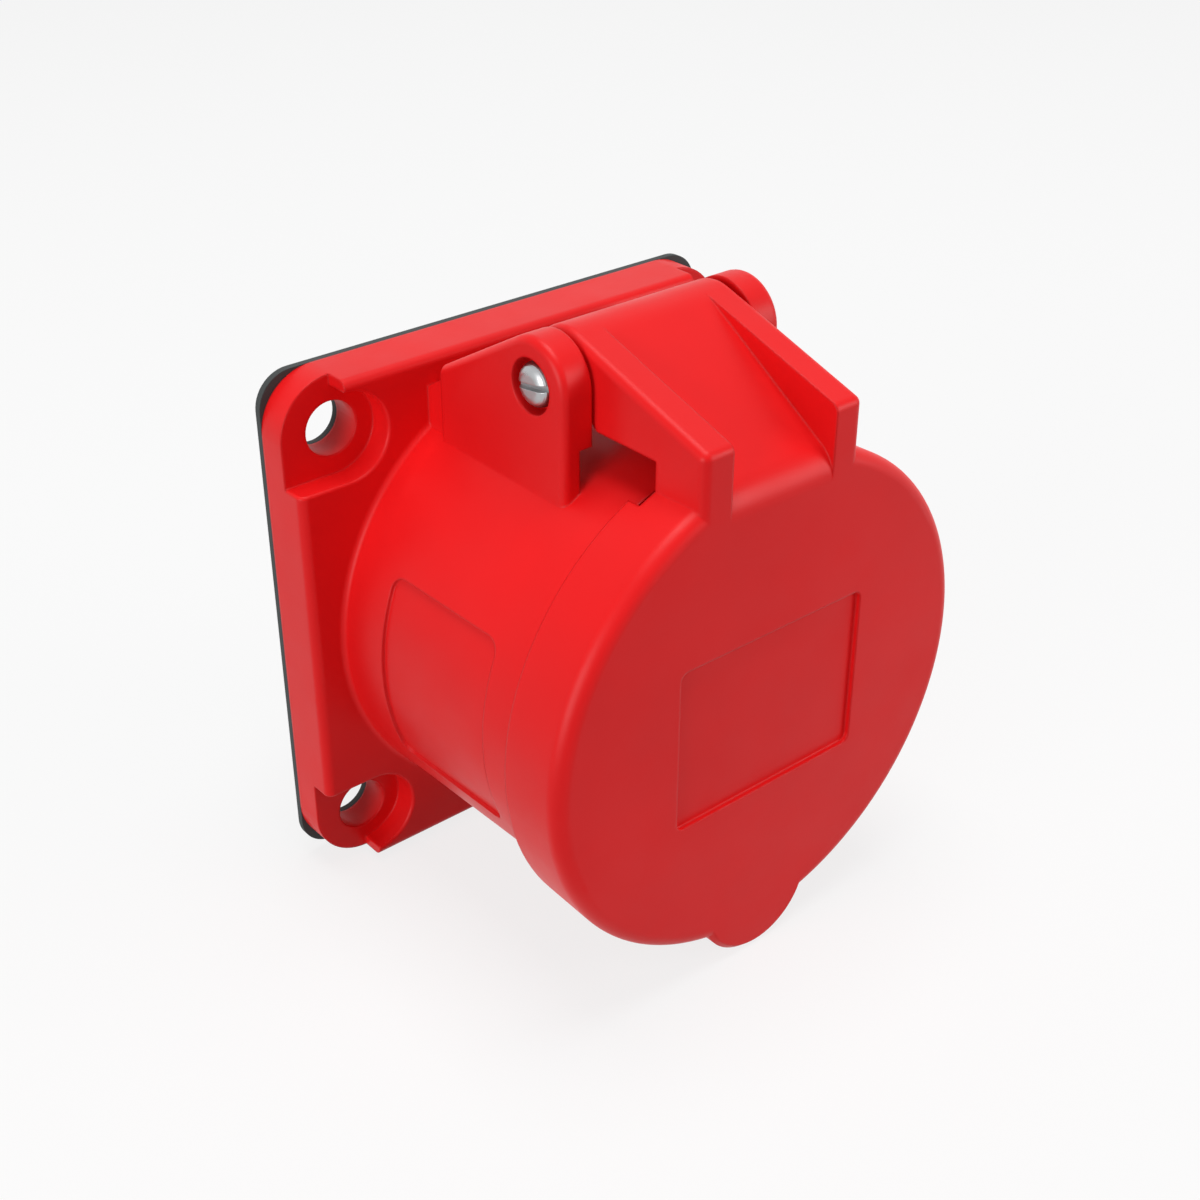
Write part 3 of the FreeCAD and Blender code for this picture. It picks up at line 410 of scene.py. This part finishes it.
def moulded_plastic(name, colour, roughness, edge):
    """A satin moulding with a fine grain, faint clouds of colour and an uneven shine."""
    plastic = settings().socket_plastic
    cloud_size, shine_size = 0.022, 0.006
    darker, lighter = 0.96, 1.04
    smoother, rougher = 0.03, 0.04
    shader = Shader(name)
    clouds = shader.noise(cloud_size, detail=3)
    grain = shader.noise(plastic.grain, detail=1.5)
    uneven = shader.noise(shine_size, detail=4)
    shader.set(
        Base_Color=shader.tint(shader.spread(clouds, 0, 1), shade(colour, darker), shade(colour, lighter)),
        Roughness=shader.spread(uneven, roughness - smoother, roughness + rougher),
        Specular_IOR_Level=plastic.shine,
        Normal=shader.bump(grain, plastic.grain_depth, shader.rounded(edge)),
    )
    return shader.material


def rubber(name, colour):
    """Dull rubber with a fine skin, a little paler and rougher where dust lies."""
    dust_size, dust_shade = 0.012, 1.5
    clean, dusty = 0.62, 0.78
    skin_size, skin_depth = 0.0005, 0.00001
    edge = 0.0002
    shader = Shader(name)
    dust = shader.noise(dust_size, detail=5)
    skin = shader.noise(skin_size, detail=3)
    shader.set(
        Base_Color=shader.tint(shader.spread(dust, 0, 1), colour, shade(colour, dust_shade)),
        Roughness=shader.spread(dust, clean, dusty),
        Normal=shader.bump(skin, skin_depth, shader.rounded(edge)),
    )
    return shader.material


def turned_metal(name, colour, along, roughness):
    """Metal from a lathe: fine rings across the given axis and a little tarnish."""
    tarnish_size = 0.003
    tarnished, bright = 0.82, 1.08
    rougher, smoother = 0.08, 0.04
    ring_depth, edge = 0.0000035, 0.0001
    shader = Shader(name)
    spacing = settings().socket_metal.turning
    parts = shader.add("ShaderNodeSeparateXYZ", {"Vector": shader.place}).outputs
    rings = shader.math("SINE", shader.math("MULTIPLY", parts[along], 2 * math.pi / spacing), 0.0)
    tarnish = shader.noise(tarnish_size, detail=5, roughness=0.6)
    shader.set(
        Metallic=1.0,
        Base_Color=shader.tint(shader.spread(tarnish, 0, 1), shade(colour, tarnished), shade(colour, bright)),
        Roughness=shader.spread(tarnish, roughness + rougher, roughness - smoother),
        Normal=shader.bump(rings, ring_depth, shader.rounded(edge)),
    )
    return shader.material


def plain_metal(name, colour, roughness):
    """Drawn or zinc-plated steel, slightly mottled."""
    mottle_size, scratch_size = 0.0016, 0.0003
    darker, lighter = 0.86, 1.1
    smoother, rougher = 0.05, 0.08
    scratch_depth, edge = 0.000004, 0.00012
    shader = Shader(name)
    mottle = shader.noise(mottle_size, detail=4, roughness=0.6)
    scratches = shader.noise(scratch_size, detail=2, stretch=(1.0, 0.15, 1.0))
    shader.set(
        Metallic=1.0,
        Base_Color=shader.tint(shader.spread(mottle, 0, 1), shade(colour, darker), shade(colour, lighter)),
        Roughness=shader.spread(mottle, roughness - smoother, roughness + rougher),
        Normal=shader.bump(scratches, scratch_depth, shader.rounded(edge)),
    )
    return shader.material


MADE = {}


def finish_of(name, make, *given):
    """Each finish is made once and shared by the pieces that have it."""
    if name not in MADE:
        MADE[name] = make(name, *given)
    return MADE[name]


def red_plastic():
    plastic = settings().socket_plastic
    return finish_of("red moulding", moulded_plastic, tuple(plastic.red), plastic.roughness, plastic.edge)


def insert_plastic():
    plastic = settings().socket_plastic
    duller = 0.14
    roughness = plastic.roughness + duller
    return finish_of("insert moulding", moulded_plastic, tuple(plastic.insert), roughness, INSERT_EDGE)


def screw_steel():
    return finish_of("zinc plated screws", plain_metal, tuple(settings().socket_metal.steel), 0.3)


def spring_steel():
    return finish_of("spring wire", plain_metal, tuple(settings().socket_metal.steel), 0.24)


def pin_steel():
    return finish_of("hinge steel", turned_metal, tuple(settings().socket_metal.steel), "X", 0.3)


def contact_brass():
    return finish_of("turned brass", turned_metal, tuple(settings().socket_metal.brass), "Y", 0.26)


def give(node, material):
    """A solid keeps its shape and gets a better finish."""
    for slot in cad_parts[node].material_slots:
        slot.material = material


# Threaded screws


class Growth:
    """A geometry tree with named inputs and short ways to add and join nodes."""

    def __init__(self, name, inputs):
        self.tree = bpy.data.node_groups.new(name, "GeometryNodeTree")
        self.tree.interface.new_socket("Geometry", in_out="OUTPUT", socket_type="NodeSocketGeometry")
        self.tree.interface.new_socket("Geometry", in_out="INPUT", socket_type="NodeSocketGeometry")
        for label, kind in inputs:
            self.tree.interface.new_socket(label, in_out="INPUT", socket_type=kind)
        self.given = self.tree.nodes.new("NodeGroupInput").outputs
        self.result = self.tree.nodes.new("NodeGroupOutput")

    def add(self, kind, inputs=None, **options):
        node = self.tree.nodes.new(kind)
        for key, option in options.items():
            setattr(node, key, option)
        for key, given in (inputs or {}).items():
            feed(self.tree, node.inputs[key], given)
        return node.outputs

    def math(self, operation, one, other=0.0):
        return self.add("ShaderNodeMath", {0: one, 1: other}, operation=operation)[0]

    def ranged(self, source, low, high, to_low, to_high):
        inputs = {"Value": source, "From Min": low, "From Max": high, "To Min": to_low, "To Max": to_high}
        return self.add("ShaderNodeMapRange", inputs)[0]

    def wound(self, around, rows, radius_of, height_of):
        """A closed surface round the Z axis. Its first and last rows close its ends."""
        size = {"Size X": 1, "Size Y": 1, "Vertices X": around, "Vertices Y": rows}
        grid = self.add("GeometryNodeMeshGrid", size)
        parts = self.add("ShaderNodeSeparateXYZ", {0: self.add("GeometryNodeInputPosition")[0]})
        turn = self.math("ADD", parts["X"], 0.5)
        row = self.math("MULTIPLY", self.math("ADD", parts["Y"], 0.5), rows - 1)
        past_first = self.math("GREATER_THAN", row, 0.5)
        before_last = self.math("LESS_THAN", row, rows - 1.5)
        wall = self.math("MULTIPLY", past_first, before_last)
        step = self.ranged(row, 1, rows - 2, 0, 1)
        height = height_of(step)
        radius = self.math("MULTIPLY", radius_of(step, height, turn), wall)
        angle = self.math("MULTIPLY", turn, 2 * math.pi)
        place = self.add(
            "ShaderNodeCombineXYZ",
            {
                "X": self.math("MULTIPLY", radius, self.math("COSINE", angle)),
                "Y": self.math("MULTIPLY", radius, self.math("SINE", angle)),
                "Z": height,
            },
        )
        placed = self.add("GeometryNodeSetPosition", {"Geometry": grid["Mesh"], "Position": place[0]})[0]
        return self.add("GeometryNodeMergeByDistance", {"Geometry": placed, "Distance": WELD})[0]


def threaded_screw_tree(around, rows):
    """Screws on the points of a mesh, each aimed by the point's own angles."""
    growth = Growth(
        "Threaded screws",
        [
            ("Radius", "NodeSocketFloat"),
            ("Length", "NodeSocketFloat"),
            ("Pitch", "NodeSocketFloat"),
            ("Depth", "NodeSocketFloat"),
            ("Head Radius", "NodeSocketFloat"),
            ("Head Height", "NodeSocketFloat"),
            ("Slot Width", "NodeSocketFloat"),
            ("Slot Depth", "NodeSocketFloat"),
            ("Finish", "NodeSocketMaterial"),
        ],
    )
    given = growth.given
    sunk = growth.math("ADD", given["Length"], growth.math("MULTIPLY", given["Head Height"], SHANK_IN_HEAD))

    def shank_radius(step, height, turn):
        phase = growth.math("SUBTRACT", growth.math("DIVIDE", height, given["Pitch"]), turn)
        wave = growth.math("PINGPONG", phase, 0.5)
        share = growth.math("SUBTRACT", 1.0, growth.math("MULTIPLY", wave, 2.0))
        groove = growth.math("MULTIPLY", share, given["Depth"])
        tip = growth.math("MULTIPLY", given["Radius"], POINT_CUT)
        point = growth.ranged(height, 0, given["Pitch"], tip, 0)
        cut = growth.math("MAXIMUM", groove, point)
        return growth.math("SUBTRACT", given["Radius"], cut)

    shank = growth.wound(around, rows, shank_radius, lambda step: growth.math("MULTIPLY", step, sunk))

    def head_radius(step, height, turn):
        rise = growth.ranged(step, SIDE_ROWS, 1, 0, math.pi / 2)
        narrowing = growth.math("COSINE", growth.math("MULTIPLY", rise, DOME_BEND))
        return growth.math("MULTIPLY", given["Head Radius"], narrowing)

    def head_height(step):
        side = growth.ranged(step, 0, SIDE_ROWS, 0, SIDE_HEIGHT)
        dome = growth.ranged(step, SIDE_ROWS, 1, 0, 1 - SIDE_HEIGHT)
        return growth.math(
            "ADD",
            given["Length"],
            growth.math("MULTIPLY", given["Head Height"], growth.math("ADD", side, dome)),
        )

    head = growth.wound(around, HEAD_ROWS, head_radius, head_height)
    cutter_size = growth.add(
        "ShaderNodeCombineXYZ",
        {
            "X": growth.math("MULTIPLY", given["Head Radius"], CUTTER_LENGTH),
            "Y": given["Slot Width"],
            "Z": growth.math("MULTIPLY", given["Slot Depth"], 2),
        },
    )[0]
    cutter = growth.add("GeometryNodeMeshCube", {"Size": cutter_size})[0]
    top = growth.math("ADD", given["Length"], given["Head Height"])
    lift = growth.add("ShaderNodeCombineXYZ", {"Z": top})[0]
    cutter = growth.add("GeometryNodeTransform", {"Geometry": cutter, "Translation": lift})[0]
    # This cuts the block and ear screws. The terminal screws' low heads stay whole, and the cutter is left
    # across each of them as a box.
    slotted = growth.tree.nodes.new("GeometryNodeMeshBoolean")
    slotted.operation = "DIFFERENCE"
    growth.tree.links.new(head, slotted.inputs["Mesh 1"])
    growth.tree.links.new(cutter, slotted.inputs["Mesh 2"])
    whole = growth.tree.nodes.new("GeometryNodeJoinGeometry")
    growth.tree.links.new(shank, whole.inputs[0])
    growth.tree.links.new(slotted.outputs["Mesh"], whole.inputs[0])
    sharp = growth.math("GREATER_THAN", growth.add("GeometryNodeInputMeshEdgeAngle")[0], SHARP_EDGE)
    smooth = growth.add(
        "GeometryNodeSetShadeSmooth",
        {"Geometry": whole.outputs[0], "Shade Smooth": True},
        domain="FACE",
    )[0]
    smooth = growth.add(
        "GeometryNodeSetShadeSmooth",
        {"Geometry": smooth, "Selection": sharp, "Shade Smooth": False},
        domain="EDGE",
    )[0]
    aim = growth.add("GeometryNodeInputNamedAttribute", {"Name": "aim"}, data_type="FLOAT_VECTOR")[0]
    turned = growth.add("FunctionNodeEulerToRotation", {"Euler": aim})[0]
    placed = growth.add(
        "GeometryNodeInstanceOnPoints",
        {"Points": given["Geometry"], "Instance": smooth, "Rotation": turned},
    )[0]
    real = growth.add("GeometryNodeRealizeInstances", {"Geometry": placed})[0]
    coated = growth.add("GeometryNodeSetMaterial", {"Geometry": real, "Material": given["Finish"]})[0]
    growth.tree.links.new(coated, growth.result.inputs[0])
    return growth.tree


def grown(name, tree, points, aims, inputs):
    """Runs a geometry tree on a few points and keeps what it grows as a plain mesh."""
    seeds = bpy.data.meshes.new(f"{name}_points")
    seeds.from_pydata([tuple(point) for point in points], [], [])
    aim = seeds.attributes.new("aim", "FLOAT_VECTOR", "POINT")
    for number, angles in enumerate(aims):
        aim.data[number].vector = angles
    carrier = bpy.data.objects.new(f"{name}_points", seeds)
    bpy.context.scene.collection.objects.link(carrier)
    modifier = carrier.modifiers.new("growth", "NODES")
    modifier.node_group = tree
    sockets = {item.name: item.identifier for item in tree.interface.items_tree if item.in_out == "INPUT"}
    for label, given in inputs.items():
        modifier[sockets[label]] = given
    view = bpy.context.evaluated_depsgraph_get()
    mesh = bpy.data.meshes.new_from_object(carrier.evaluated_get(view), depsgraph=view)
    mesh.name = name
    bpy.data.objects.remove(carrier)
    bpy.data.meshes.remove(seeds)
    if not mesh.polygons:
        raise RuntimeError(f"{name} came out empty")
    piece = bpy.data.objects.new(name, mesh)
    bpy.context.scene.collection.objects.link(piece)
    return piece


def screws(node, points, aims, radius, length, head_radius, head_height):
    """Threaded screws in place of a node's plain ones, each on its point with its head along its angles."""
    threads = settings().socket_threads
    pitch = radius * threads.pitch
    rows = ROWS_PER_TURN * round(length / pitch) + END_ROWS
    piece = grown(
        f"{node}_threaded",
        threaded_screw_tree(threads.around, rows),
        points,
        aims,
        {
            "Radius": radius,
            "Length": length,
            "Pitch": pitch,
            "Depth": pitch * threads.depth,
            "Head Radius": head_radius,
            "Head Height": head_height,
            "Slot Width": threads.slot,
            "Slot Depth": head_height * SLOT_DEPTH,
            "Finish": screw_steel(),
        },
    )
    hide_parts(node)
    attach(piece, "base")


# Operators


class SOCKET_OT_mouldings(bpy.types.Operator):
    """Finish the housing and the lid in satin red plastic"""

    bl_idname = "socket.mouldings"
    bl_label = "Housing and Lid"

    def execute(self, context):
        for node in ("housing", "lid"):
            give(node, red_plastic())
        return {"FINISHED"}


class SOCKET_OT_rubbers(bpy.types.Operator):
    """Finish the panel gasket and the lid's seal in black rubber"""

    bl_idname = "socket.rubbers"
    bl_label = "Gasket and Seal"

    def execute(self, context):
        colours = context.scene.socket_rubber
        give("panel_gasket", finish_of("gasket sheet", rubber, tuple(colours.gasket)))
        give("lid_seal", finish_of("seal ring", rubber, tuple(colours.seal)))
        return {"FINISHED"}


class SOCKET_OT_hinge(bpy.types.Operator):
    """Finish the hinge screw and the spring round it"""

    bl_idname = "socket.hinge"
    bl_label = "Hinge"

    def execute(self, context):
        give("hinge_screw", pin_steel())
        give("hinge_spring", spring_steel())
        return {"FINISHED"}


class SOCKET_OT_insert(bpy.types.Operator):
    """Finish the carrier, the terminal block and the brass contacts with their spring rings"""

    bl_idname = "socket.insert"
    bl_label = "Insert and Contacts"

    def execute(self, context):
        give("contact_carrier", insert_plastic())
        give("terminal_block", insert_plastic())
        for contact in CONTACTS:
            give(f"contact_{contact}", contact_brass())
            give(f"spring_ring_{contact}", spring_steel())
        return {"FINISHED"}


class SOCKET_OT_screws(bpy.types.Operator):
    """Give the insert's screws threads and domed heads, with slots in the block and ear screws"""

    bl_idname = "socket.screws"
    bl_label = "Screws"

    def execute(self, context):
        threads = context.scene.socket_threads
        backwards = (-math.pi / 2, 0, 0)
        low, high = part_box("block_screw")
        head = (high.x - low.x) / 2
        length = high.y - low.y - BLOCK_DOME
        points = [Vector((0, low.y, 0))]
        screws("block_screw", points, [backwards], threads.block_radius, length, head, BLOCK_DOME)
        low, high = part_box("ear_screws")
        head = (high.z - low.z) / 2
        length = high.y - low.y - EAR_DOME
        points = [Vector((x, low.y, 0)) for x in (low.x + head, high.x - head)]
        screws("ear_screws", points, [backwards] * 2, threads.ear_radius, length, head, EAR_DOME)
        low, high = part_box("terminal_screws")
        points, aims = [], []
        for number in range(len(CONTACTS)):
            turn = SIX_O_CLOCK + 2 * math.pi * number / len(CONTACTS)
            outwards = Vector((math.cos(turn), 0, math.sin(turn)))
            points.append((-low.z - threads.clamp_length) * outwards + Vector((0, (low.y + high.y) / 2, 0)))
            aims.append((0, math.pi / 2 - turn, 0))
        radius = threads.clamp_radius
        length = threads.clamp_length - TERMINAL_DOME
        screws("terminal_screws", points, aims, radius, length, radius, TERMINAL_DOME)
        return {"FINISHED"}


class SOCKET_OT_stage(bpy.types.Operator):
    """Set the floor, the lamps, the surroundings and the camera"""

    bl_idname = "socket.stage"
    bl_label = "Stage"

    def execute(self, context):
        stage = context.scene.socket_stage
        build_floor(stage)
        light_surroundings(stage)
        for name, (place, side) in LAMPS.items():
            add_lamp(name, place, side, getattr(stage, name))
        add_camera(stage)
        context.scene.view_settings.view_transform = "Standard"
        return {"FINISHED"}


# Stage


def seen_directly(tree):
    """1 for what the camera sees, also in a reflection or through glass, and 0 for light."""
    path = tree.nodes.new("ShaderNodeLightPath").outputs
    seen = path["Is Camera Ray"]
    for other in ("Is Glossy Ray", "Is Transmission Ray"):
        either = tree.nodes.new("ShaderNodeMath")
        either.operation = "MAXIMUM"
        tree.links.new(seen, either.inputs[0])
        tree.links.new(path[other], either.inputs[1])
        seen = either.outputs[0]
    return seen


def pale(name, bounce, shadow_share):
    """Near white to the camera, with faint shadows, and a plain grey that throws little light back up."""
    material = bpy.data.materials.new(name)
    material.use_nodes = True
    tree = material.node_tree
    seen = seen_directly(tree)
    surface = tree.nodes["Principled BSDF"]
    surface.inputs["Roughness"].default_value = 0.9
    surface.inputs["Specular IOR Level"].default_value = 0
    tone = tree.nodes.new("ShaderNodeMix")
    tone.data_type = "RGBA"
    tone.inputs[6].default_value = (bounce, bounce, bounce, 1)
    tone.inputs[7].default_value = FLOOR_GREY
    tree.links.new(seen, tone.inputs[0])
    tree.links.new(tone.outputs[2], surface.inputs["Base Color"])
    glow = tree.nodes.new("ShaderNodeEmission")
    share = tree.nodes.new("ShaderNodeMath")
    share.operation = "MULTIPLY"
    share.inputs[1].default_value = 1 - shadow_share
    tree.links.new(seen, share.inputs[0])
    mix = tree.nodes.new("ShaderNodeMixShader")
    tree.links.new(share.outputs[0], mix.inputs["Fac"])
    tree.links.new(surface.outputs[0], mix.inputs[1])
    tree.links.new(glow.outputs[0], mix.inputs[2])
    tree.links.new(mix.outputs[0], tree.nodes["Material Output"].inputs["Surface"])
    return material


def build_floor(stage):
    """A wide square under the part."""
    level = SOLIDS[0][2] - stage.drop
    half = 4.0
    mesh = bpy.data.meshes.new("floor")
    corners = [(-half, -half, level), (half, -half, level), (half, half, level), (-half, half, level)]
    mesh.from_pydata(corners, [], [(0, 1, 2, 3)])
    mesh.materials.append(pale("pale floor", stage.bounce, stage.shadow))
    floor = bpy.data.objects.new("floor", mesh)
    bpy.context.scene.collection.objects.link(floor)


def light_surroundings(stage):
    """Plain white to the camera, and soft light of the set strength on the part."""
    world = bpy.data.worlds.new("studio")
    world.use_nodes = True
    tree = world.node_tree
    lit = tree.nodes["Background"]
    lit.inputs["Color"].default_value = WHITE
    lit.inputs["Strength"].default_value = stage.fill
    white = tree.nodes.new("ShaderNodeBackground")
    white.inputs["Color"].default_value = WHITE
    mix = tree.nodes.new("ShaderNodeMixShader")
    tree.links.new(seen_directly(tree), mix.inputs["Fac"])
    tree.links.new(lit.outputs[0], mix.inputs[1])
    tree.links.new(white.outputs[0], mix.inputs[2])
    tree.links.new(mix.outputs[0], tree.nodes["World Output"].inputs["Surface"])
    bpy.context.scene.world = world


def add_lamp(name, place, size, power):
    """A square lamp that faces the middle of the part."""
    light = bpy.data.lights.new(name, "AREA")
    light.shape = "SQUARE"
    light.size = size
    light.energy = power
    lamp = bpy.data.objects.new(name, light)
    lamp.location = place
    towards = (SOLIDS[0] + SOLIDS[1]) / 2 - lamp.location
    lamp.rotation_euler = towards.to_track_quat("-Z", "Y").to_euler()
    bpy.context.scene.collection.objects.link(lamp)


def add_camera(stage):
    """The photograph's view."""
    data = bpy.data.cameras.new("camera")
    data.sensor_fit = "HORIZONTAL"
    data.sensor_width = 36
    data.lens = stage.lens
    data.clip_start = 0.01
    camera = bpy.data.objects.new("camera", data)
    camera.location = CAMERA_PLACE
    camera.rotation_euler = [math.radians(angle) for angle in CAMERA_DEGREES]
    bpy.context.scene.collection.objects.link(camera)
    bpy.context.scene.camera = camera


class SOCKET_PT_panel(bpy.types.Panel):
    bl_label = "Panel Socket"
    bl_idname = "SOCKET_PT_panel"
    bl_space_type = "VIEW_3D"
    bl_region_type = "UI"
    bl_category = "Socket"

    def draw(self, context):
        for operator in OPERATORS:
            self.layout.operator(operator.bl_idname)
        for name in GROUPS:
            box = self.layout.box()
            group = getattr(context.scene, name)
            for key in group.__annotations__:
                box.prop(group, key)


GROUPS = {
    "socket_plastic": SocketPlastic,
    "socket_rubber": SocketRubber,
    "socket_metal": SocketMetal,
    "socket_threads": SocketThreads,
    "socket_stage": SocketStage,
}
OPERATORS = (
    SOCKET_OT_mouldings,
    SOCKET_OT_rubbers,
    SOCKET_OT_hinge,
    SOCKET_OT_insert,
    SOCKET_OT_screws,
    SOCKET_OT_stage,
)


def register():
    for name, group in GROUPS.items():
        bpy.utils.register_class(group)
        setattr(bpy.types.Scene, name, PointerProperty(type=group))
    for operator in OPERATORS:
        bpy.utils.register_class(operator)
    bpy.utils.register_class(SOCKET_PT_panel)


def unregister():
    bpy.utils.unregister_class(SOCKET_PT_panel)
    for operator in reversed(OPERATORS):
        bpy.utils.unregister_class(operator)
    for name, group in GROUPS.items():
        delattr(bpy.types.Scene, name)
        bpy.utils.unregister_class(group)


def main():
    register()
    for operator in OPERATORS:
        group, action = operator.bl_idname.split(".")
        getattr(getattr(bpy.ops, group), action)()


if __name__ == "__main__":
    main()
